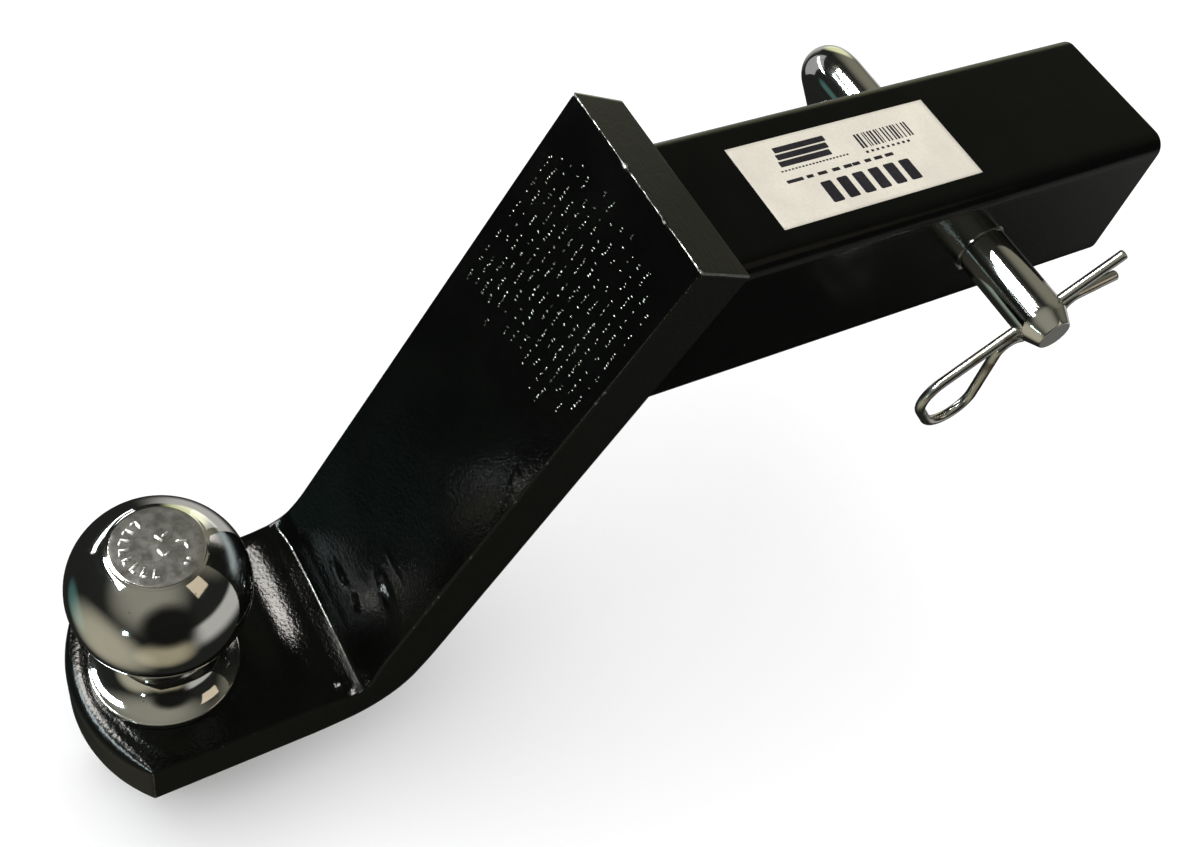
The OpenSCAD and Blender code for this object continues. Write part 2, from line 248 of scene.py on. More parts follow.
def make_piece(name, points, faces, coat, body, slot, node=None, values=None, merged=True):
    """One closed mesh piece from points in millimetres and faces. Points that coincide are merged, which
    closes seams and poles, and the faces are turned outwards. values are its point attributes by name."""
    mesh = bpy.data.meshes.new(name)
    mesh.from_pydata((points * MM).tolist(), [], faces)
    for key, numbers in (values or {}).items():
        layer = mesh.attributes.new(key, "FLOAT", "POINT")
        layer.data.foreach_set("value", np.ravel(numbers).astype(np.float32))
    shell = bmesh.new()
    shell.from_mesh(mesh)
    if merged:
        bmesh.ops.remove_doubles(shell, verts=shell.verts, dist=2e-6)
    bmesh.ops.recalc_face_normals(shell, faces=shell.faces)
    shell.to_mesh(mesh)
    shell.free()
    mesh.shade_smooth()
    mesh.materials.append(coat)
    made = bpy.data.objects.new(name, mesh)
    scene.collection.objects.link(made)
    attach(made, body)
    if node:
        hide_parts(node)
    return made


def ring_piece(name, rings, coat, body, slot, node, values=None):
    """A piece made of closed rings of points, each joined to the next."""
    return make_piece(name, *joined((rings, True)), coat, body, slot, node, values)


def even_shading(made):
    """Lets the large flat faces set the shading of the corners that they share with narrow ones."""
    level = made.modifiers.new("even_shading", "WEIGHTED_NORMAL")
    level.mode = "FACE_AREA"
    level.weight = 80


def bore(made, centre, axis, radius, length):
    """Cuts a round hole through a piece: a cylinder about the axis is taken away from it for good."""
    turn = np.linspace(0, 2 * math.pi, 97)[:-1]
    ring = np.stack([np.cos(turn), np.sin(turn)], -1) * radius
    points = np.concatenate([np.c_[ring, np.full(96, end)] for end in (-length / 2, length / 2)])
    tool_mesh = bpy.data.meshes.new("drill")
    caps = [list(range(95, -1, -1)), list(range(96, 192))]
    tool_mesh.from_pydata((points * MM).tolist(), [], quads(2, 96, True).tolist() + caps)
    facing = Vector(axis).to_track_quat("Z", "Y").to_matrix().to_4x4()
    tool_mesh.transform(Matrix.Translation(Vector(centre) * MM) @ facing)
    drill = bpy.data.objects.new("drill", tool_mesh)
    scene.collection.objects.link(drill)
    cut = made.modifiers.new("hole", "BOOLEAN")
    cut.operation, cut.solver, cut.object = "DIFFERENCE", "EXACT", drill
    bpy.context.view_layer.update()
    bored = bpy.data.meshes.new_from_object(made.evaluated_get(bpy.context.evaluated_depsgraph_get()))
    made.modifiers.remove(cut)
    made.data = bored
    bpy.data.objects.remove(drill)


def new_coat(name):
    """A new empty node material, its tree, and the object coordinates that its patterns follow."""
    coat = bpy.data.materials.new(name)
    coat.use_nodes = True
    tree = coat.node_tree
    tree.nodes.clear()
    return coat, tree, add_node(tree, "ShaderNodeTexCoord").outputs["Object"]


def value_of(tree, attribute):
    """A point attribute of the piece."""
    return add_node(tree, "ShaderNodeAttribute", attribute_name=attribute).outputs["Fac"]


def clouds(tree, place, scale, detail, roughness=0.5, warp=0.0):
    """Cloudy noise from 0 to 1, with patches about 1 / scale metres across."""
    return add_node(tree, "ShaderNodeTexNoise", [
        ("Vector", place), ("Scale", scale), ("Detail", detail), ("Roughness", roughness),
        ("Distortion", warp)]).outputs["Fac"]


def cells(tree, place, scale):
    """Distance to the nearest of many scattered points, about 1 / scale metres apart."""
    return add_node(tree, "ShaderNodeTexVoronoi", [("Vector", place), ("Scale", scale)]).outputs["Distance"]


def stretched(tree, place, scales):
    """Coordinates scaled along each axis, for a pattern that is drawn out."""
    return add_node(tree, "ShaderNodeMapping", [("Vector", place), ("Scale", scales)]).outputs[0]


def ramp(tree, value, first, last, low=0.0, high=1.0):
    """Straight ramp from low where value is first to high where it is last, and level past them."""
    return add_node(tree, "ShaderNodeMapRange", [
        (0, value), ("From Min", first), ("From Max", last), ("To Min", low), ("To Max", high)]).outputs[0]


def reckon(tree, operation, *values):
    """One step of arithmetic."""
    return add_node(tree, "ShaderNodeMath", list(enumerate(values)), operation=operation).outputs[0]


def mixed(tree, share, first, second):
    """Colour that runs from first to second as share goes from 0 to 1. A colour is (r, g, b) or a socket."""
    first, second = ((*tone, 1) if isinstance(tone, tuple) else tone for tone in (first, second))
    return add_node(tree, "ShaderNodeMix", [("Factor", share), ("A", first), ("B", second)],
                    data_type="RGBA").outputs["Result"]


def turned_edges(tree, radius, samples, first, last, high=1.0):
    """Mask of the edges, up to high: it grows as the normal rounded over radius leans from the face's."""
    rounded = add_node(tree, "ShaderNodeBevel", [("Radius", radius)], samples=samples).outputs[0]
    own = add_node(tree, "ShaderNodeNewGeometry").outputs["True Normal"]
    lean = add_node(tree, "ShaderNodeVectorMath", [(0, rounded), (1, own)], operation="DOT_PRODUCT")
    return ramp(tree, lean.outputs["Value"], first, last, 0.0, high)


def raised(tree, height, strength, distance, *under):
    """Normal of a surface with this height on it, over the normal under it if there is one."""
    return add_node(tree, "ShaderNodeBump", [
        ("Height", height), ("Strength", strength), ("Distance", distance),
        *(("Normal", normal) for normal in under)]).outputs[0]


def finish_coat(coat, colour, roughness, metal, normal, mirror=0.5):
    """Ends a material with its shader, whose specular level is mirror."""
    shader = add_node(coat.node_tree, "ShaderNodeBsdfPrincipled", [
        ("Base Color", colour), ("Roughness", roughness), ("Metallic", metal), ("Normal", normal),
        ("Specular IOR Level", mirror)])
    add_node(coat.node_tree, "ShaderNodeOutputMaterial", [("Surface", shader.outputs[0])])
    return coat


def black_enamel(name, peel, sheen, mirror):
    """Sprayed black enamel: a mottled near-black under an orange-peel bump of strength peel, with sheen as its
    lowest roughness. It is duller and sawn where the cut_face attribute is 1. Bare steel shows in flecks where
    the surface turns an edge, and all along an edge where the thin_coat attribute is high."""
    coat, tree, place = new_coat(name)
    cut_face = value_of(tree, "cut_face")
    mottle = clouds(tree, place, 55.0, 6.0, 0.6)
    specks = ramp(tree, cells(tree, place, 420.0), 0.0, 0.16, 0.25, 0.0)
    orange_peel = reckon(tree, "ADD", clouds(tree, place, 900.0, 2.0), specks)
    saw = clouds(tree, stretched(tree, place, (60.0, 900.0, 900.0)), 1.0, 3.0, 0.7)
    relief = reckon(tree, "ADD", orange_peel, reckon(tree, "MULTIPLY", saw, cut_face))
    normal = raised(tree, relief, peel, 0.00016, raised(tree, mottle, 0.16, 0.0006))
    rubbed = reckon(tree, "MAXIMUM", turned_edges(tree, 0.0007, 6, 0.97, 0.86), value_of(tree, "thin_coat"))
    flecks = reckon(tree, "MULTIPLY_ADD", rubbed, 0.34, clouds(tree, place, 260.0, 5.0, 0.7))
    worn = reckon(tree, "MULTIPLY", ramp(tree, rubbed, 0.08, 0.3), ramp(tree, flecks, 0.66, 0.76))
    black = mixed(tree, mottle, (0.0008, 0.0010, 0.0010), (0.0026, 0.0029, 0.0023))
    sawn = mixed(tree, cut_face, black, (0.0034, 0.0038, 0.0024))
    colour = mixed(tree, worn, sawn, (0.28, 0.29, 0.27))
    gloss = ramp(tree, mottle, 0.3, 0.7, sheen, sheen + 0.09)
    return finish_coat(coat, colour, ramp(tree, cut_face, 0.0, 1.0, gloss, 0.42), worn, normal, mirror)


shank_low, shank_high = (np.array(corner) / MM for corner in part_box("shank_tube"))
shank_half = shank_high[0]
shank_tail = shank_high[1]
shank_wall = 6.35
shank_corner_r = 5.3
shank_inner_r = 1.6
shank_reach = 116.4
shank_end_round = 0.7
wall_rings, round_rings = 61, 6
bar_slope = math.radians(66.2)
pin_hole_r = 8.04


def square_loop(half, corner_r, turns=10, flats=14):
    """One turn (x, z) round a square with rounded corners: a quarter circle at each corner, then an even run
    along the flat to the next one."""
    arc = np.linspace(0, math.pi / 2, turns + 1)
    run = np.linspace(0, 1, flats + 1)[1:-1, None]
    corner = np.stack([half - corner_r + corner_r * np.cos(arc), half - corner_r + corner_r * np.sin(arc)], -1)
    flat = np.array([[half - corner_r, half]]) * (1 - run) + np.array([[corner_r - half, half]]) * run
    quarter = np.concatenate([corner, flat])
    turned = [quarter @ np.linalg.matrix_power(np.array([[0.0, 1.0], [-1.0, 0.0]]), k) for k in range(4)]
    return np.concatenate(turned)


def tube_ring(half, corner_r, share, back):
    """One ring of a tube's wall, at share of the way from the mitre, y = z / tan(slope) - reach, to back."""
    loop = square_loop(half, corner_r)
    front = loop[:, 1] / math.tan(bar_slope) - shank_reach
    return np.c_[loop[:, 0], front + (back - front) * share, loop[:, 1]]


def shank_rings():
    """Rings from the mitre along the outside, round the rear edge, and back along the inside to the mitre. The
    edge's inset is r (1 - cos a) and its distance from the end is r (1 - sin a)."""
    inner_half = shank_half - shank_wall
    wall_end = shank_tail - shank_end_round
    outside = [tube_ring(shank_half, shank_corner_r, share, wall_end)
               for share in np.linspace(0, 1, wall_rings)]
    rim = []
    for turn in np.linspace(0, math.pi / 2, round_rings + 1)[1:]:
        inset = shank_end_round * (1 - math.cos(turn))
        end = shank_tail - shank_end_round * (1 - math.sin(turn))
        rim.append(tube_ring(shank_half - inset, shank_corner_r - inset, 1, end))
    for turn in np.linspace(math.pi / 2, 0, 5):
        inset = 0.6 * shank_end_round * (1 - math.cos(turn))
        end = shank_tail - shank_end_round * (1 - math.sin(turn))
        rim.append(tube_ring(inner_half + inset, shank_inner_r + inset, 1, end))
    inside = [tube_ring(inner_half, shank_inner_r, share, wall_end) for share in np.linspace(1, 0, 21)]
    return np.array(outside + rim + inside + outside[:1])


shank_skin = shank_rings()
shank_cut = np.zeros(shank_skin.shape[:2])
rear_ring = wall_rings + round_rings
shank_cut[rear_ring - 2:rear_ring + 3] = 0.8
enamel = black_enamel("black_enamel", peel=0.22, sheen=0.13, mirror=0.12)
shank = ring_piece("shank_tube_body", shank_skin, enamel, "ball_mount", "black_enamel", "shank_tube",
                   {"cut_face": shank_cut})
bore(shank, (0, 0, 0), (1, 0, 0), pin_hole_r, 4 * shank_half)
even_shading(shank)

# ---- drop bar --------------------------------------------------------------------------------
# The bar is 3/4 inch flat steel, sawn at the top end, bent once in a press and rounded at the
# tip, where the top edge is ground well over. The press leaves it dished beside the bend.
bar_low, bar_high = (np.array(corner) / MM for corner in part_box("drop_bar"))
bar_half = bar_high[0]
bar_t = 19.05
bend_r = 9.0
tip_r = 48.0
platform_z = bar_low[2] + bar_t
leg_up = np.array([math.cos(bar_slope), math.sin(bar_slope)])
leg_out = np.array([-math.sin(bar_slope), math.cos(bar_slope)])
front_offset = np.array([-shank_reach, 0.0]) @ leg_out + bar_t
bend_z = platform_z + bend_r
bend_y = (front_offset + bend_r - bend_z * leg_out[1]) / leg_out[0]
leg_top = front_offset * leg_out + (bar_high[2] - front_offset * leg_out[1]) / leg_up[1] * leg_up
bend_top = np.array([bend_y, bend_z]) - bend_r * leg_out
leg_l = float(np.linalg.norm(leg_top - bend_top))
bend_l = bend_r * bar_slope
bar_l = leg_l + bend_l + (bend_y - bar_low[1])
tip_zone = leg_l + bend_l + 26
side_r, tip_edge_r, bottom_r = 0.9, 4.6, 0.9
hole_r = 13.1
upset = 1.3
ball_y = -243.8


def onto_bar(along, across, depth):
    """Bends the flat bar's coordinates to its real shape. along runs down the front face from the top end,
    depth goes in from that face: straight down the leg, round the bend's centre at bend_r plus depth, then
    level to the tip. The press spreads the inside of the bend sideways and draws the outside in."""
    spread = upset * np.exp(-((along - leg_l - bend_l / 2) / 8.5) ** 2) * (1 - 1.4 * depth / bar_t)
    across = across * (1 + spread / bar_half)
    down = np.clip(along, None, leg_l)[..., None]
    leg = leg_top - down * leg_up - depth[..., None] * leg_out
    angle = bar_slope - np.clip((along - leg_l) / bend_r, 0, bar_slope)
    normal = np.stack([-np.sin(angle), np.cos(angle)], -1)
    bent = np.array([bend_y, bend_z]) - (bend_r + depth)[..., None] * normal
    level = np.stack([bend_y - (along - leg_l - bend_l), platform_z - depth], -1)
    side = np.where((along < leg_l + bend_l)[..., None], bent, level)
    side = np.where((along < leg_l)[..., None], leg, side)
    return np.stack([across, side[..., 0], side[..., 1]], -1)


def waviness(x, y, scale, seed):
    """Smooth random height from -1 to 1: a sum of eight sine waves with random directions and phases."""
    rng = np.random.default_rng(seed)
    turn, phase = rng.uniform(0, 2 * math.pi, (2, 8))
    size = rng.uniform(0.6, 1.6, 8)
    waves = [np.sin((x * math.cos(t) + y * math.sin(t)) * s * 2 * math.pi / scale + p)
             for t, p, s in zip(turn, phase, size)]
    return sum(waves) / 4


def hump(u, x, u0, x0, du, dx):
    """Bell-shaped height, 1 at (u0, x0), that fades over du along and dx across."""
    return np.exp(-((u - u0) / du) ** 2 - ((x - x0) / dx) ** 2)


flat_reach = math.radians(27)


def press_line(x):
    """Angle round the bend, from the platform's end of it, of the line that the press left across it."""
    return math.radians(33) - math.radians(18) * np.exp(-(x + 32) / 5)


# dents by the press: height, millimetres up the leg from the bend, place across, reach along and across
press_dents = (
    (0.95, 8.5, 1, 1.4, 5.5), (1.0, 9.5, 10.6, 1.5, 1.6), (0.30, 32.5, 14, 0.8, 4.5),
    (0.70, 0.6 - bend_l, 27.5, 1.6, 1.5))


def pressed_face(u, x):
    """Height of the front face over its flat shape: the dish in front of the bend, the press line, dents above
    it, a ground line inside the tip and rolling-mill waves. The line is where two flats that touch the bend's
    arc on either side of it meet."""
    bend_end = leg_l + bend_l
    height = -1.7 * np.exp(-((u - bend_end - 11.6) / 6.2) ** 2 - ((x + 11) / 25) ** 4)
    off_line = np.abs((bend_end - u) / bend_r - press_line(x))
    flats = bend_r * (1 / np.cos(np.clip(flat_reach - off_line, 0, None)) - 1)
    height = height - flats * np.clip((bend_end - u) / 1.2, 0, 1)
    height = height + 1.6 * hump(u, x, leg_l - 24, 16, 2.2, 4.5) * (1 + 0.3 * waviness(u, x, 2.4, 6))
    for size, up, across, du, dx in press_dents:
        height = height + size * hump(u, x, leg_l - up, across, du, dx)
    height = height + 0.20 * hump(u, x, 88, 28.6, 9, 3.0) * (1 + waviness(u, x, 2.6, 5))
    reach = np.hypot(x - 3, u - (bar_l - tip_r))
    ground = np.exp(-((reach - 38.5) / 0.9) ** 2) * (u > bar_l - 30)
    height = height + 0.22 * ground * np.clip((x + 4) / 10, 0, 1)
    return height + 0.045 * waviness(u, x, 34, 1) + 0.012 * waviness(u, x, 9, 2)


def bar_plan(row, share, side_in, tip_in, top_in):
    """Place on the flat bar of row (distance from the top end at mid width) and share (-1 to 1 across), with
    its outline drawn in by side_in, tip_in and top_in. Past tip_zone the rows bow to the tip's arc."""
    x = share * (bar_half - side_in)
    arc = bar_l - tip_r + np.sqrt((tip_r - tip_in) ** 2 - x ** 2)
    bowed = tip_zone + (row - tip_zone) * (arc - tip_zone) / (bar_l - tip_zone)
    return np.where(row > tip_zone, bowed, row + top_in * np.clip(1 - row / 6, 0, 1)), x


def rim_of(rows, cols):
    """Row and column numbers of a grid's outline, once round."""
    i = np.concatenate([np.zeros(cols - 1), np.arange(rows - 1), np.full(cols - 1, rows - 1),
                        np.arange(rows - 1, 0, -1)])
    j = np.concatenate([np.arange(cols - 1), np.full(rows - 1, cols - 1), np.arange(cols - 1, 0, -1),
                        np.zeros(rows - 1)])
    return i.astype(int), j.astype(int)


def bar_parts():
    """The bar as a front sheet, a back sheet and the edge between them. Each ring of the edge is the outline
    drawn in by r (1 - sin a) at depth r (1 - cos a), for a front edge radius r that changes round the bar."""
    rows = np.concatenate([np.arange(0, leg_l - 40, 1.0), np.arange(leg_l - 40, leg_l, 0.5),
                           np.linspace(leg_l, leg_l + bend_l, 29)[:-1],
                           np.linspace(leg_l + bend_l, bar_l, 76)])
    shares = np.linspace(-1, 1, 75)
    across = shares * bar_half
    tip_round = side_r + (tip_edge_r - side_r) * (1 - np.abs(shares) ** 5)
    chips = 0.38 + 0.2 * waviness(shares * 33, 0 * shares, 4.0, 3) * (1 - np.abs(shares) ** 9)
    chips = chips + 1.1 * hump(0, across, 0, -5, 1, 1.5) + 0.8 * hump(0, across, 0, 15, 1, 1.2)
    top_round = side_r + (chips - side_r) * (1 - np.abs(shares) ** 12)
    row_grid, share_grid = np.meshgrid(rows, shares, indexing="ij")

    def sheet(side, tip, top, depth, height):
        u, x = bar_plan(row_grid, share_grid, side, tip, top)
        tip_arc = bar_l - tip_r + np.sqrt(np.clip((tip_r - 5) ** 2 - x ** 2, 0, None))
        fade = np.clip((bar_half - side_r - np.abs(x)) / 3, 0, 1) * np.clip(u / 3, 0, 1)
        return onto_bar(u, x, depth - fade * np.clip((tip_arc - u) / 3, 0, 1) * height(u, x))

    front = sheet(side_r, tip_round, top_round, 0 * row_grid, pressed_face)
    back = sheet(bottom_r, bottom_r, bottom_r, 0 * row_grid + bar_t, lambda u, x: 0 * u)
    last = len(rows) - 1
    loop_i, loop_j = rim_of(len(rows), len(shares))
    tip_loop, top_loop = tip_round[loop_j], top_round[loop_j]
    loop_round = np.where(loop_i == last, tip_loop, np.where(loop_i == 0, top_loop, side_r))
    wear = np.where(loop_i == 0, 0.62, np.where(loop_i == last, 0.08, 0.16))
    rings, cut, thin = [], [], []

    def add_ring(side_in, tip_in, top_in, depth, sawn, thinned):
        u, x = bar_plan(rows[loop_i], shares[loop_j], side_in, tip_in, top_in)
        rings.append(onto_bar(u, x, depth + 0 * u))
        cut.append(sawn + 0 * u)
        thin.append(thinned + 0 * u)

    for turn in np.linspace(0, math.pi / 2, 9):
        inset, sunk = 1 - math.sin(turn), 1 - math.cos(turn)
        add_ring(side_r * inset, tip_loop * inset, top_loop * inset, loop_round * sunk,
                 math.sin(turn) ** 3, wear * math.sin(2 * turn))
    for depth in np.linspace(tip_edge_r + 0.6, bar_t - bottom_r, 7):
        add_ring(0, 0, 0, depth, 1, 0)
    for turn in np.linspace(math.pi / 2, 0, 6)[1:]:
        inset = bottom_r * (1 - math.sin(turn))
        add_ring(inset, inset, inset, bar_t - bottom_r * (1 - math.cos(turn)),
                 math.sin(turn) ** 3, 0.4 * wear * math.sin(2 * turn))
    # the die rubbed the press line dull from mid width to the near side
    off_line = (leg_l + bend_l - row_grid) / bend_r - press_line(share_grid * (bar_half - side_r))
    dulled = 0.95 * np.exp(-(off_line / 0.13) ** 2) * np.clip((share_grid * (bar_half - side_r) - 2) / 9, 0, 1)
    values = {"cut_face": np.concatenate([dulled.ravel(), np.ravel(cut), 0 * back[..., 0].ravel()]),
              "thin_coat": np.concatenate([0 * dulled.ravel(), np.ravel(thin), 0 * back[..., 0].ravel()])}
    return joined((front, False), (np.array(rings), True), (back, False)), values


bar_skin, bar_values = bar_parts()
bar_enamel = black_enamel("black_enamel_thick", peel=0.60, sheen=0.11, mirror=0.22)
drop_bar = make_piece("drop_bar_body", *bar_skin, bar_enamel, "ball_mount", "black_enamel", "drop_bar",
                      bar_values)
bore(drop_bar, (0, ball_y, platform_z), (0, 0, 1), hole_r, 4 * bar_t)
even_shading(drop_bar)

# ---- stamped marks on the leg ----------------------------------------------------------------
# Rows of small raised strokes that a die left on the leg. They are part of the bar's steel, lie
# under its enamel, and spell nothing.
mark_rows = 16
mark_l, mark_w, mark_h = 0.92, 0.38, 0.21


def raised_bars(place, turn, length, width, height, corner=1.0):
    """Many small raised bars at once, as points (a, b, h) over a flat face. Each has an outline of twelve
    points, three on each rounded corner, whose radius is corner times half the width, and 1 makes a pill. It
    is sunk a little at its foot and drawn in at its top."""
    arc = np.radians([8.0, 45.0, 82.0])
    bend = (np.arange(4)[:, None] * math.pi / 2 + arc).ravel()
    sign_a = np.repeat([1.0, -1.0, -1.0, 1.0], 3)
    sign_b = np.repeat([1.0, 1.0, -1.0, -1.0], 3)
    half_a, half_b = np.asarray(length)[:, None] / 2, np.asarray(width)[:, None] / 2
    layers = []
    for share, lift in ((1.0, -0.05), (0.93, 0.4 * height), (0.72, 0.78 * height), (0.4, height)):
        b_in = half_b * share
        a_in = half_a - half_b + b_in
        r = corner * b_in
        a = sign_a * (a_in - r) + r * np.cos(bend)
        b = sign_b * (b_in - r) + r * np.sin(bend)
        c, s = np.cos(turn)[:, None], np.sin(turn)[:, None]
        layers.append(np.stack([
            place[:, :1] + a * c - b * s, place[:, 1:] + a * s + b * c, np.full(a.shape, lift)], -1))
    starts = np.arange(len(place))[:, None, None] * 48
    sides = (quads(4, 12, True) + starts).reshape(-1, 4)
    caps = (np.stack([np.arange(11, -1, -1), np.arange(36, 48)]) + starts).reshape(-1, 12)
    return np.stack(layers, 1).reshape(-1, 3), sides.tolist() + caps.tolist()


def stamped_field():
    """Centres and turns of the strokes: rows down the leg, broken into groups with gaps between them."""
    rng = np.random.default_rng(11)
    across, along = np.meshgrid(np.linspace(-26.5, 28, mark_rows), np.arange(7.0, 68.0, 1.05), indexing="ij")
    begin = 10 + 5 * np.abs(np.linspace(-1, 1, mark_rows))[:, None] ** 2 + rng.uniform(-2, 2, (mark_rows, 1))
    finish = 61 + rng.uniform(-4, 5, (mark_rows, 1))
    group = np.floor(along / 1.05 + rng.uniform(0, 9, (mark_rows, 1)))
    kept = (along > begin) & (along < finish) & (group % 8 < 6) & (rng.uniform(0, 1, along.shape) < 0.70)
    count = int(kept.sum())
    jitter = rng.uniform(-0.32, 0.32, (count, 2))
    spots = np.c_[along[kept], across[kept]] + jitter
    turns = math.pi / 2 + rng.choice([0.0, 0.0, 0.0, 0.3, -0.3, 1.4], count)
    return spots, turns, rng.uniform(0.6, 1.0, count)


mark_spots, mark_turns, mark_shares = stamped_field()
mark_points, mark_faces = raised_bars(mark_spots, mark_turns, mark_l * mark_shares + 0.1,
                                      np.full(len(mark_spots), mark_w), mark_h)
mark_points = onto_bar(mark_points[:, 0], mark_points[:, 1], -mark_points[:, 2]
                       - pressed_face(mark_points[:, 0], mark_points[:, 1]))


def raised_piece(name, points, faces, coat, slot):
    """A piece of many small bars on the ball mount, each closed by itself, so no points are merged."""
    make_piece(name, points, faces, coat, "ball_mount", slot, merged=False)


raised_piece("leg_stamp_strokes", mark_points, mark_faces, bar_enamel, "black_enamel")

# ---- welds -----------------------------------------------------------------------------------
# Four fillet welds join the shank to the bar's back face. Each is a run of overlapping puddles,
# painted over with the rest.
weld_leg = 6.0
ripple_step = 1.7


def close_ends(rings):
    """The rings with one more before the first and after the last, each shrunk to the middle of its end."""
    middles = [np.repeat(rings[i].mean(0)[None, None], rings.shape[1], 1) for i in (0, -1)]
    return np.concatenate([middles[0], rings, middles[1]])


def weld_bead(start, finish, side_a, side_b, seed):
    """A fillet bead from start to finish, between the face along side_a and the face along side_b. Its section
    bulges a little past the straight line between the two toes, and the ripple size follows |sin|."""
    length = np.linalg.norm(finish - start)
    rng = np.random.default_rng(seed)
    along = np.linspace(0, 1, int(length / 0.35))
    uneven = 0.6 * np.sin(along * 9 + rng.uniform(0, 6))
    swell = np.abs(np.sin(along * length * math.pi / ripple_step + uneven))
    size = 0.86 + 0.10 * swell + 0.03 * np.sin(along * 23 + rng.uniform(0, 6))
    size = size * np.sqrt(np.clip(np.minimum(along, 1 - along) * length / 2.5, 0, 1))
    fan = np.linspace(0, 1, 13)[:, None]
    middle = (side_a + side_b) / np.linalg.norm(side_a + side_b)
    bulge = weld_leg * (fan * side_b + (1 - fan) * side_a) + 0.9 * np.sin(fan * math.pi) * middle
    spine = start + (finish - start) * along[:, None]
    root = spine - 0.4 * middle
    return close_ends(np.concatenate([root[:, None], spine[:, None] + size[:, None, None] * bulge], 1))


def back_y(z):
    """Where the bar's back face stands at height z."""
    return z / math.tan(bar_slope) - shank_reach


shank_flat = shank_half - shank_corner_r
leg_back = np.array([0, leg_up[0], leg_up[1]])
leg_away = np.array([0, -leg_out[0], -leg_out[1]])
rear = np.array([0, 1.0, 0])
weld_enamel = black_enamel("black_enamel_weld", peel=0.5, sheen=0.16, mirror=0.22)
# each weld lies above or below the shank, or beside it
for seed, name, side, up in ((20, "weld_top", 0, 1), (21, "weld_bottom", 0, -1),
                             (22, "weld_near", 1, 0), (23, "weld_far", -1, 0)):
    if up:
        ends = [np.array([x, back_y(up * shank_half), up * shank_half]) for x in (-shank_flat, shank_flat)]
        toes = rear, up * leg_back
    else:
        ends = [np.array([side * shank_half, back_y(z), z]) for z in (-shank_flat, shank_flat)]
        toes = np.array([side, 0.0, 0.0]), leg_away
    ring_piece(name + "_bead", weld_bead(*ends, *toes, seed), weld_enamel, "ball_mount", "black_enamel", name)

# ---- ball ------------------------------------------------------------------------------------
# The ball, its neck, flange and threaded stud are one forging, turned, polished and chromed. The
# top is left flat, with raised forge strokes on it that spell nothing.
ball_r = 25.4
ball_rise = 46.7
flat_r = 12.9
flat_round = 1.3
neck_r = 13.5
flange_r = 22.2
flange_rim = 2.6
sweep_r = 12.0
stud_r = 12.7
stud_l = 54.0
thread_pitch = 3.175
thread_depth = 1.6
plain_stud = 25.4


def turned_arc(centre, radius, first, last, steps):
    """Points (r, z) of an arc about centre, from angle first to last in degrees."""
    turn = np.radians(np.linspace(first, last, steps))
    return np.c_[centre[0] + radius * np.cos(turn), centre[1] + radius * np.sin(turn)]


def ball_outline():
    """Half outline (r, z) from the stud's end up: stud, flange, hollow sweep, neck, ball and flat top.
    The short arcs between them are the turned radii."""
    thread = np.arange(-stud_l + 1.6, -plain_stud, 0.25)
    sweep_rise = math.sqrt(sweep_r ** 2 - (neck_r + sweep_r - flange_r) ** 2)
    sweep_c = np.array([neck_r + sweep_r, flange_rim + sweep_rise])
    rim_turn = math.degrees(math.atan2(flange_rim - sweep_c[1], flange_r - sweep_c[0])) % 360
    neck_turn = -math.degrees(math.acos(neck_r / ball_r))
    flat_rise = math.sqrt(ball_r ** 2 - flat_r ** 2)
    flat_c = np.array([flat_r - flat_round * 0.5, ball_rise + flat_rise - flat_round])
    flat_turn = math.degrees(math.atan2(flat_rise, flat_r))
    neck_top = ball_rise + ball_r * math.sin(math.radians(neck_turn)) - 1.4
    return np.concatenate([
        np.c_[np.linspace(0, 11.1, 6), np.full(6, -stud_l)],
        np.c_[np.linspace(11.3, stud_r, 5), np.linspace(-stud_l, -stud_l + 1.4, 5)],
        np.c_[np.full(len(thread), stud_r), thread],
        np.array([[stud_r, -plain_stud], [stud_r, -plain_stud / 2], [stud_r, -0.02], [17.0, -0.02]]),
        turned_arc((flange_r - 0.6, 0.58), 0.6, -90, 0, 6),
        turned_arc((flange_r - 0.7, flange_rim - 0.5), 0.7, 10, 60, 5),
        turned_arc(sweep_c, sweep_r, rim_turn - 3, 180, 26),
        np.array([[neck_r, sweep_c[1] + 4], [neck_r, neck_top]]),
        turned_arc((0, ball_rise), ball_r, neck_turn + 2.6, flat_turn - 1.6, 84),
        turned_arc(flat_c, flat_round, 52, 90, 6),
        np.c_[np.linspace(flat_c[0] - 0.6, 0, 12), np.full(12, flat_c[1] + flat_round)],
    ])


def spun(outline, sides, groove=None):
    """Spins a half outline (r, z) about the upright axis. groove takes (turn, z) and gives how much smaller
    the radius is there, as a helix: a V whose phase is z / pitch + turn / (2 pi)."""
    turn = np.linspace(0, 2 * math.pi, sides + 1)[:-1]
    r, z = outline[:, 0, None] + 0 * turn, outline[:, 1, None] + 0 * turn
    if groove is not None:
        r = r - groove(turn[None, :] + 0 * z, z)
    return np.stack([r * np.cos(turn), r * np.sin(turn), z], -1)


def screw_thread(turn, z):
    """Depth of the thread's V groove, which starts at the stud's chamfer and runs out at the plain part."""
    phase = (z / thread_pitch + turn / (2 * math.pi)) % 1.0
    vee = np.clip(1 - np.abs(phase - 0.5) * 2, 0, 0.92)
    inside = np.clip((-plain_stud - z) / 2.0, 0, 1) * np.clip((z + stud_l - 0.9) / 0.8, 0, 1)
    return thread_depth * vee * inside


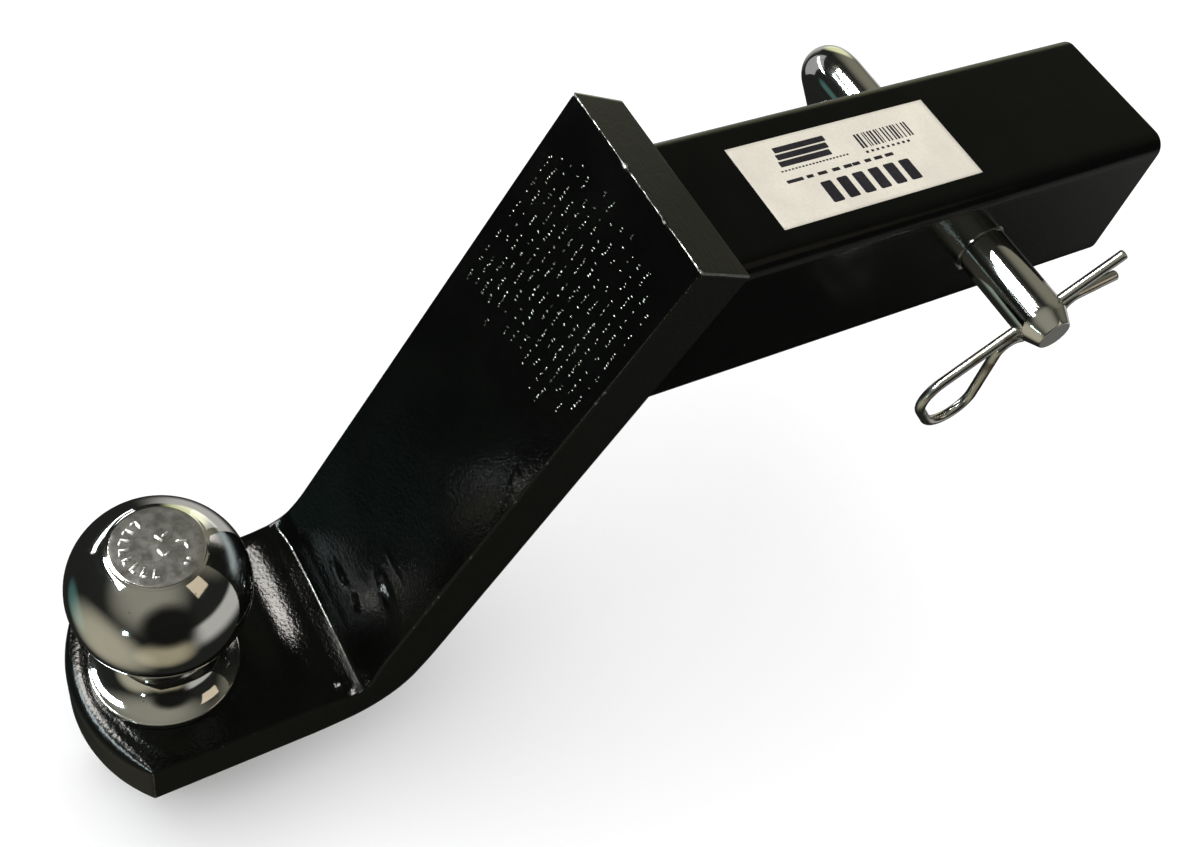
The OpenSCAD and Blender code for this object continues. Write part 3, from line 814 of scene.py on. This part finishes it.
def chrome(name, low_rough, high_rough, ripple=0.12):
    """Polished chrome plate: cloudy patches of slightly different polish, fine swirl marks, ripples of
    strength ripple, a few pits, and duller plating along the edges."""
    coat, tree, place = new_coat(name)
    cloud = clouds(tree, place, 45.0, 5.0, 0.6, 0.6)
    swirl = clouds(tree, stretched(tree, place, (300.0, 300.0, 2400.0)), 1.0, 4.0, 0.7)
    pits = ramp(tree, cells(tree, place, 240.0), 0.0, 0.09, 1.0, 0.0)
    edge = turned_edges(tree, 0.0006, 4, 0.985, 0.9, 0.6)
    plate = mixed(tree, cloud, (0.70, 0.70, 0.67), (0.88, 0.88, 0.86))
    colour = mixed(tree, pits, mixed(tree, edge, plate, (0.42, 0.40, 0.36)), (0.22, 0.20, 0.17))
    polish = ramp(tree, swirl, 0.3, 0.75, low_rough, high_rough)
    normal = raised(tree, swirl, 0.05, 0.00005, raised(tree, cloud, ripple, 0.0004))
    return finish_coat(coat, colour, reckon(tree, "MAXIMUM", polish, edge), 1.0, normal)


def coat_end(made, coat, axis, depth):
    """Gives a second material to the faces within depth metres of a piece's highest face along an axis, and
    returns how far up that face is."""
    centres = np.zeros(len(made.data.polygons) * 3)
    made.data.polygons.foreach_get("center", centres)
    reach = centres.reshape(-1, 3)[:, axis]
    made.data.materials.append(coat)
    made.data.polygons.foreach_set("material_index", (reach > reach.max() - depth).astype(np.int32))
    return reach.max()


ball_chrome = chrome("chrome_plate", 0.035, 0.085)
ball_skin = spun(ball_outline(), 128, screw_thread) + np.array([0, ball_y, platform_z])
ball = ring_piece("tow_ball", ball_skin, ball_chrome, "ball_mount", "chrome_plate", "trailer_ball")
even_shading(ball)
flat_z = coat_end(ball, chrome("chrome_forged_face", 0.13, 0.21, 0.14), 2, 1e-5)


stroke_ring = np.radians(np.arange(196, 356, 20.0))
stroke_spots = np.concatenate([
    np.c_[8.4 * np.cos(stroke_ring), 8.4 * np.sin(stroke_ring)],
    np.c_[9.6 * np.cos(stroke_ring + 0.1), 9.6 * np.sin(stroke_ring + 0.1)],
    [[-2.2, 1.2], [-2.8, 3.2], [2.2, 0.2], [3.2, 1.6], [0.8, 6.4], [2.6, 7.2], [6.6, 6.4], [7.8, 5.2]]])
stroke_turns = np.concatenate([
    stroke_ring, stroke_ring + math.pi / 2, [0.5, 1.9, 0.3, 2.0, 1.2, 0.2, 0.8, 0.8]])
stroke_lengths = np.concatenate([np.full(8, 2.9), np.full(8, 1.5), [3.0, 2.2, 2.8, 1.8, 3.0, 2.2, 1.5, 1.5]])
stroke_w, stroke_h = 0.78, 0.46
stroke_points, stroke_faces = raised_bars(stroke_spots, stroke_turns, stroke_lengths,
                                          np.full(len(stroke_spots), stroke_w), stroke_h)
stroke_points = stroke_points + np.array([0, ball_y, flat_z / MM])
raised_piece("ball_top_strokes", stroke_points, stroke_faces, ball_chrome, "chrome_plate")

# ---- lock washer -----------------------------------------------------------------------------
# A split spring washer, rolled from square wire and zinc plated. The nut squeezes it flat against
# the underside of the platform.
washer_r = 21.0
washer_in = 12.75
washer_t = 6.35
washer_gap = 3.0
washer_slant = math.radians(25)


def zinc_steel(name, low, high):
    """Zinc-plated steel: a dull silver with crystal-like patches, fine tool marks and darker edges. Its
    roughness runs from low to high."""
    coat, tree, place = new_coat(name)
    cloud = clouds(tree, place, 90.0, 6.0)
    grain = clouds(tree, stretched(tree, place, (500.0, 500.0, 3200.0)), 1.0, 3.0)
    plate = mixed(tree, cloud, (0.42, 0.42, 0.40), (0.68, 0.68, 0.66))
    spangled = mixed(tree, cells(tree, place, 260.0), plate, (0.55, 0.56, 0.56))
    colour = mixed(tree, turned_edges(tree, 0.0006, 4, 0.98, 0.88), spangled, (0.30, 0.28, 0.25))
    rough = ramp(tree, cloud, 0.3, 0.7, low, high)
    return finish_coat(coat, colour, rough, 1.0, raised(tree, grain, 0.3, 0.00008))


def washer_ring():
    """The washer's section, a rectangle with rounded corners, carried once round the axis less the gap. The
    two ends lean by the slant: their turn shifts by height times tan(slant) over the radius."""
    half_w, half_t, corner = (washer_r - washer_in) / 2, washer_t / 2, 0.6
    corner_turn = np.linspace(0, math.pi / 2, 5)
    quarter = np.c_[np.cos(corner_turn), np.sin(corner_turn)] * corner
    signs = np.array([[1, 1], [-1, 1], [-1, -1], [1, -1]])
    section = np.concatenate([
        (quarter if k % 2 == 0 else quarter[::-1]) * s + s * np.array([half_w - corner, half_t - corner])
        for k, s in enumerate(signs)])
    r = (washer_r + washer_in) / 2 + section[:, 0]
    lean = (section[:, 1] * math.tan(washer_slant)) / r
    gap = washer_gap / 2 / math.cos(washer_slant) / r
    share = np.linspace(0, 1, 145)[:, None]
    turn = gap + lean + share * (2 * math.pi - 2 * gap)
    return close_ends(np.stack([r * np.cos(turn), r * np.sin(turn), section[:, 1] + 0 * turn], -1))


washer_skin = washer_ring() + np.array([0, ball_y, platform_z - bar_t - washer_t / 2])
washer = ring_piece("lock_washer_ring", washer_skin, zinc_steel("zinc_washer", 0.30, 0.46), "ball_mount",
                    "zinc_steel", "lock_washer")
even_shading(washer)

# ---- nut -------------------------------------------------------------------------------------
# A heavy hexagon nut on the stud, under the lock washer. It is forged and zinc plated, chamfered
# on both faces and tapped through.
nut_flat = 19.05
nut_h = 21.8
nut_chamfer = math.radians(30)


def nut_rings():
    """Rings up the outside, over the top face, down the bore and back under. The outside radius is the smaller
    of the hexagon's, flat / cos(turn within one side), and the chamfer cone's."""
    turn = np.linspace(0, 2 * math.pi, 145)[:-1]
    hexagon = nut_flat / np.cos((turn + math.pi / 6) % (math.pi / 3) - math.pi / 6)
    hexagon = np.minimum(hexagon, nut_flat / math.cos(math.pi / 6) - 0.25)
    up = (1 - np.cos(np.linspace(0, math.pi, 45))) / 2 * nut_h
    cone = nut_flat * 0.97 + np.minimum(up, nut_h - up) / math.tan(nut_chamfer)
    outside = np.minimum(hexagon[None, :], cone[:, None])
    bore_r, bore_lip = 12.75, 0.9
    heights = np.concatenate([up, [nut_h, nut_h, nut_h, nut_h - bore_lip, bore_lip, 0, 0, 0]])
    lip_r, seat_r, face_r = bore_r + bore_lip, 16.0, nut_flat * 0.94
    inside = np.array([face_r, seat_r, lip_r, bore_r, bore_r, lip_r, seat_r, face_r])
    radius = np.concatenate([outside, inside[:, None] + 0 * turn[None, :], outside[:1]])
    height = np.concatenate([heights, [0.0]])[:, None] + 0 * turn[None, :]
    return np.stack([radius * np.cos(turn), radius * np.sin(turn), height], -1)


nut_skin = nut_rings() + np.array([0, ball_y, platform_z - bar_t - washer_t - nut_h])
nut = ring_piece("hex_nut_body", nut_skin, zinc_steel("zinc_nut", 0.26, 0.40), "ball_mount", "zinc_steel",
                 "hex_nut")
even_shading(nut)

# ---- hitch pin -------------------------------------------------------------------------------
# A 5/8 inch steel pin, bent to a handle on the far side, with a chamfered tip and a cross hole
# for the clip. It is polished and chromed.
pin_r = 7.94
pin_tip = 61.2
tip_chamfer = 5.6
tip_flat_r = 5.4
pin_bend_at = 50.0
pin_bend_r = 12.0
handle_l = 46.0
handle_dip = math.radians(60)
clip_at = 53.1
clip_tilt = math.radians(38)
clip_hole_r = 1.72


def swept(path, radius, plane_normal, sides, way=None):
    """Carries a circle along a flat path. Each ring's two axes are the path plane's normal and that normal
    crossed with way, the path's direction; radius gives each ring's size, and 0 closes an end."""
    if way is None:
        way = np.gradient(path, axis=0)
        way = way / np.linalg.norm(way, axis=1)[:, None]
    side = np.cross(plane_normal, way)
    turn = np.linspace(0, 2 * math.pi, sides + 1)[:-1, None]
    return path[:, None] + (side[:, None] * np.cos(turn) + plane_normal * np.sin(turn)) * radius[:, None, None]


def pin_rings():
    """Rings from the tip's middle, over its rounded chamfer, along the shank and round the bend to the
    handle's end. Distance runs along the pin, and the radius is a function of it."""
    axis = np.array([1.0, 0, 0])
    handle = np.array([0, math.cos(handle_dip), -math.sin(handle_dip)])
    share = np.linspace(0, 1, 9)
    chamfer_end = pin_tip - tip_chamfer + 1.0
    shoulder = pin_r - (pin_r - tip_flat_r) / tip_chamfer
    straight_x = np.concatenate([
        np.full(3, pin_tip), pin_tip - 0.5 * (1 - np.cos(share * 1.2)),
        np.linspace(pin_tip - 0.9, chamfer_end, 12), chamfer_end - 2.2 * share[1:],
        np.linspace(chamfer_end - 3.2, 0.5 - pin_bend_at, 60)])
    tip_radius = np.concatenate([
        [0.0, 2.5, tip_flat_r - 0.5], tip_flat_r - 0.5 + 0.62 * np.sin(share * 1.2),
        np.linspace(tip_flat_r + 0.38, shoulder, 12),
        shoulder + (pin_r - shoulder) * np.sin(share[1:] * math.pi / 2)])
    turn = np.linspace(0, math.pi / 2, 33)[:, None]
    corner = -pin_bend_at * axis + pin_bend_r * handle
    bent = corner - pin_bend_r * (np.sin(turn) * axis + np.cos(turn) * handle)
    # the handle's end is rounded over by 1.5 mm
    end_turn = np.linspace(0, math.pi / 2, 7)[1:]
    run = np.concatenate([np.linspace(1.0, handle_l - 1.5, 24), handle_l - 1.5 * (1 - np.sin(end_turn)),
                          [handle_l, handle_l]])[:, None]
    grip_radius = np.concatenate([np.full(24, pin_r), pin_r - 1.5 * (1 - np.cos(end_turn)), [3.0, 0.0]])
    path = np.concatenate([straight_x[:, None] * axis, bent, corner - pin_bend_r * axis + run * handle])
    plain = len(path) - len(tip_radius) - len(grip_radius)
    radius = np.concatenate([tip_radius, np.full(plain, pin_r), grip_radius])
    way = np.concatenate([np.tile(-axis, (len(straight_x), 1)), np.sin(turn) * handle - np.cos(turn) * axis,
                          np.tile(handle, (len(run), 1))])
    return swept(path, radius, np.cross(axis, handle), 96, way)


hitch_pin = ring_piece("hitch_pin_rod", pin_rings(), chrome("chrome_pin", 0.05, 0.12), "pin", "chrome_plate",
                       "hitch_pin")
bore(hitch_pin, (clip_at, 0, 0), (0, math.cos(clip_tilt), math.sin(clip_tilt)), clip_hole_r, 4 * pin_r)
even_shading(hitch_pin)
coat_end(hitch_pin, zinc_steel("sawn_pin_end", 0.42, 0.60), 0, 0.05 * MM)

# ---- hairpin clip ----------------------------------------------------------------------------
# The clip is one length of 1/8 inch spring wire: a straight leg through the pin, a loop, and a
# sprung leg that comes back over the pin and flares out. It is bright and drawn, not plated.
wire_r = 1.6
clip_leg = 30.0
clip_grip = 33.5
loop_r = 9.5
loop_side = 8.0
loop_back_r = 9.0
spring_slope = math.radians(56)
spring_bend_r = 5.0
spring_gap = 0.06
flare = math.radians(25)
flare_l = 14.0


def wire_bend(centre, radius, first, last):
    """Points of a bend of the wire about centre, for headings from first to last: the centre lies on the
    wire's left when the heading grows, and on its right when it falls."""
    heading = np.linspace(first, last, max(3, int(abs(last - first) / math.radians(4)) + 1))
    side = math.copysign(1, last - first)
    return np.asarray(centre) + side * radius * np.c_[np.sin(heading), -np.cos(heading)]


def clip_path():
    """The wire's middle line in the clip's own plane: x along the straight leg, y towards the sprung leg.
    The slope's length puts the bend beside the pin exactly on the pin's surface."""
    loop_c = np.array([-clip_grip, loop_r])
    back_c = np.array([-clip_grip - loop_r + loop_back_r, loop_r + loop_side])
    wrap_r = pin_r + wire_r + spring_gap
    slope_start = back_c + loop_back_r * np.array([math.sin(spring_slope), math.cos(spring_slope)])
    slope_way = np.array([math.cos(spring_slope), -math.sin(spring_slope)])
    base = slope_start + spring_bend_r * np.array([math.sin(spring_slope), math.cos(spring_slope)])
    along = base @ slope_way
    slope_l = -along - math.sqrt(along ** 2 - base @ base + (wrap_r + spring_bend_r) ** 2)
    in_c = base + slope_l * slope_way
    in_angle = math.atan2(in_c[1], in_c[0])
    out_angle = math.pi - in_angle
    out_c = (wrap_r + spring_bend_r) * np.array([math.cos(out_angle), math.sin(out_angle)])
    flare_start = out_c + spring_bend_r * np.array([math.sin(flare), -math.cos(flare)])
    flare_way = np.array([math.cos(flare), math.sin(flare)])
    leg = np.c_[np.linspace(clip_leg, -clip_grip, 50)[:-1], np.zeros(49)]
    half_pi = math.pi / 2
    across = loop_c + np.array([-loop_r, 0]) + np.linspace(0, 1, 8)[1:-1, None] * np.array([0, loop_side])
    slope = slope_start + np.linspace(0, 1, 22)[1:-1, None] * slope_l * slope_way
    tail = flare_start + np.linspace(0, 1, 14)[1:, None] * flare_l * flare_way
    return np.concatenate([
        leg, wire_bend(loop_c, loop_r, math.pi, half_pi), across,
        wire_bend(back_c, loop_back_r, half_pi, -spring_slope),
        slope, wire_bend(in_c, spring_bend_r, -spring_slope, in_angle - half_pi),
        wire_bend((0, 0), wrap_r, in_angle - half_pi, out_angle - half_pi)[1:-1],
        wire_bend(out_c, spring_bend_r, out_angle - half_pi, flare), tail])


def spring_wire():
    """Drawn spring wire: long die marks along the wire from the along and around attributes, cloudy polish,
    and small scuffs on its outside."""
    coat, tree, place = new_coat("spring_wire")
    drawn = add_node(tree, "ShaderNodeCombineXYZ", [
        ("X", value_of(tree, "along")), ("Y", value_of(tree, "around"))]).outputs[0]
    lines = clouds(tree, drawn, 9.0, 4.0)
    cloud = clouds(tree, place, 120.0, 5.0)
    bright = mixed(tree, lines, (0.46, 0.45, 0.41), (0.74, 0.74, 0.71))
    colour = mixed(tree, ramp(tree, cloud, 0.60, 0.72), bright, (0.24, 0.22, 0.18))
    rough = ramp(tree, cloud, 0.3, 0.75, 0.12, 0.32)
    return finish_coat(coat, colour, rough, 1.0, raised(tree, lines, 0.25, 0.00006))


flat_path = clip_path()
clip_x = np.array([0, math.cos(clip_tilt), math.sin(clip_tilt)])
clip_y = np.array([0, math.sin(clip_tilt), -math.cos(clip_tilt)])
wire_path = np.array([clip_at, 0, 0]) + flat_path[:, :1] * clip_x + flat_path[:, 1:] * clip_y
end_ways = [wire_path[0] - wire_path[1], wire_path[-1] - wire_path[-2]]
end_ways = [way / np.linalg.norm(way) for way in end_ways]
inward = np.array([0.0, 0.2, 0.45])[:, None]
wire_path = np.concatenate([
    wire_path[0] - inward * end_ways[0], wire_path[1:-1], wire_path[-1] - inward[::-1] * end_ways[1]])
wire_size = np.full(len(wire_path), wire_r)
wire_size[[0, -1]] = wire_r * 0.62
wire_size[[1, -2]] = wire_r * 0.9
wire_skin = close_ends(swept(wire_path, wire_size, np.array([-1.0, 0, 0]), 28))
wire_steps = np.linalg.norm(np.diff(wire_path, axis=0), axis=1)
wire_run = np.concatenate([[0, 0], np.cumsum(wire_steps), [wire_steps.sum()]])[:, None]
wire_turn = np.linspace(0, 2 * math.pi, 29)[:-1]
ring_piece("hairpin_wire", wire_skin, spring_wire(), "clip", "spring_wire", "hairpin_clip",
           {"along": wire_run * 0.02 + 0 * wire_turn, "around": 0 * wire_run + 2 * np.cos(wire_turn)})

# ---- label -----------------------------------------------------------------------------------
# A white paper label stuck on the shank's top. It is printed in black with plain bars and blocks
# only, which spell nothing.
label_low, label_high = (np.array(corner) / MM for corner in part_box("shank_label"))


def label_sheet():
    """The label as a thin slab: a top sheet that follows the shank with a trace of cockle, and a skirt down to
    its back, which rests on the shank."""
    x, y = np.meshgrid(*(np.linspace(label_low[axis], label_high[axis], count)
                         for axis, count in ((0, 22), (1, 44))), indexing="ij")
    from_rim = np.minimum.reduce([x - label_low[0], label_high[0] - x, y - label_low[1], label_high[1] - y])
    top = label_high[2] - 0.02 + 0.02 * waviness(x, y, 16, 8) * np.clip(from_rim / 3, 0, 1)
    upper = np.stack([x, y, top], -1)
    lower = np.stack([x, y, np.full(x.shape, label_low[2])], -1)
    i, j = rim_of(*x.shape)
    return joined((upper, False), (np.stack([upper[i, j], lower[i, j]]), True), (lower, False))


def printed(name, dark, pale_tone, rough_low, rough_high, fibre):
    """Paper or print: two close tones mixed by a fibre noise, which also moves the roughness and the bump."""
    coat, tree, place = new_coat(name)
    fibres = clouds(tree, place, fibre, 6.0, 0.7)
    share = ramp(tree, reckon(tree, "MULTIPLY", fibres, clouds(tree, place, 70.0, 3.0)), 0.12, 0.40)
    rough = ramp(tree, fibres, 0.3, 0.7, rough_low, rough_high)
    colour = mixed(tree, share, dark, pale_tone)
    return finish_coat(coat, colour, rough, 0.0, raised(tree, fibres, 0.2, 0.00003), 0.25)


paper = printed("label_paper", (0.50, 0.465, 0.40), (0.60, 0.565, 0.48), 0.42, 0.60, 1400.0)
ink = printed("label_ink", (0.006, 0.005, 0.008), (0.020, 0.018, 0.024), 0.30, 0.45, 900.0)
make_piece("label_paper_sheet", *label_sheet(), paper, "ball_mount", "label_paper", "shank_label")


def bars(*columns):
    """A table of bars, one a row: centre x and y, turn, length and width. A single number fills its column."""
    return np.stack(np.broadcast_arrays(*columns), -1)


def label_print():
    """The printed bars: three bold bars, a block of upright lines, a row of dashes and two rows of longer ones
    where small print would be, and six blocks in a row."""
    rng = np.random.default_rng(4)
    upright_turn = math.pi / 2
    bold = bars([-9.6, -7.0, -4.4], [-55.2, -55.8, -56.4], 0, 18.0, 2.2)
    step = rng.uniform(0.75, 1.55, 16)
    line_w = np.minimum(rng.uniform(0.30, 0.85, 16), step - 0.32)
    upright = bars(-5.2, -38.2 + np.cumsum(step), upright_turn, 5.6, line_w)
    small = bars(-1.9, -66.0 + np.arange(20) * 1.2, 0, 0.8, 0.55)
    under = bars(-0.9, -36.6 + np.arange(9) * 1.9, 0, 1.0, 0.9)
    word_y = -65.4 + np.array([0, 2.6, 6.3, 10.6, 15.4, 19.6, 22.6, 26.8, 30.6, 34.6])
    words = bars(2.0, word_y, 0, rng.uniform(2.0, 3.4, 10), 1.25)
    blocks = bars(8.8, -56.0 + np.arange(6) * 5.6, upright_turn, 8.0, 4.0)
    return np.concatenate([bold, upright, small, under, words, blocks])


print_at = label_print()
ink_h, ink_corner = 0.035, 0.3
ink_points, ink_faces = raised_bars(print_at[:, :2], math.pi / 2 + print_at[:, 2], *print_at[:, 3:].T,
                                    ink_h, ink_corner)
ink_points = ink_points + np.array([0, 0, label_high[2] - 0.005])
raised_piece("label_print_bars", ink_points, ink_faces, ink, "label_paper")
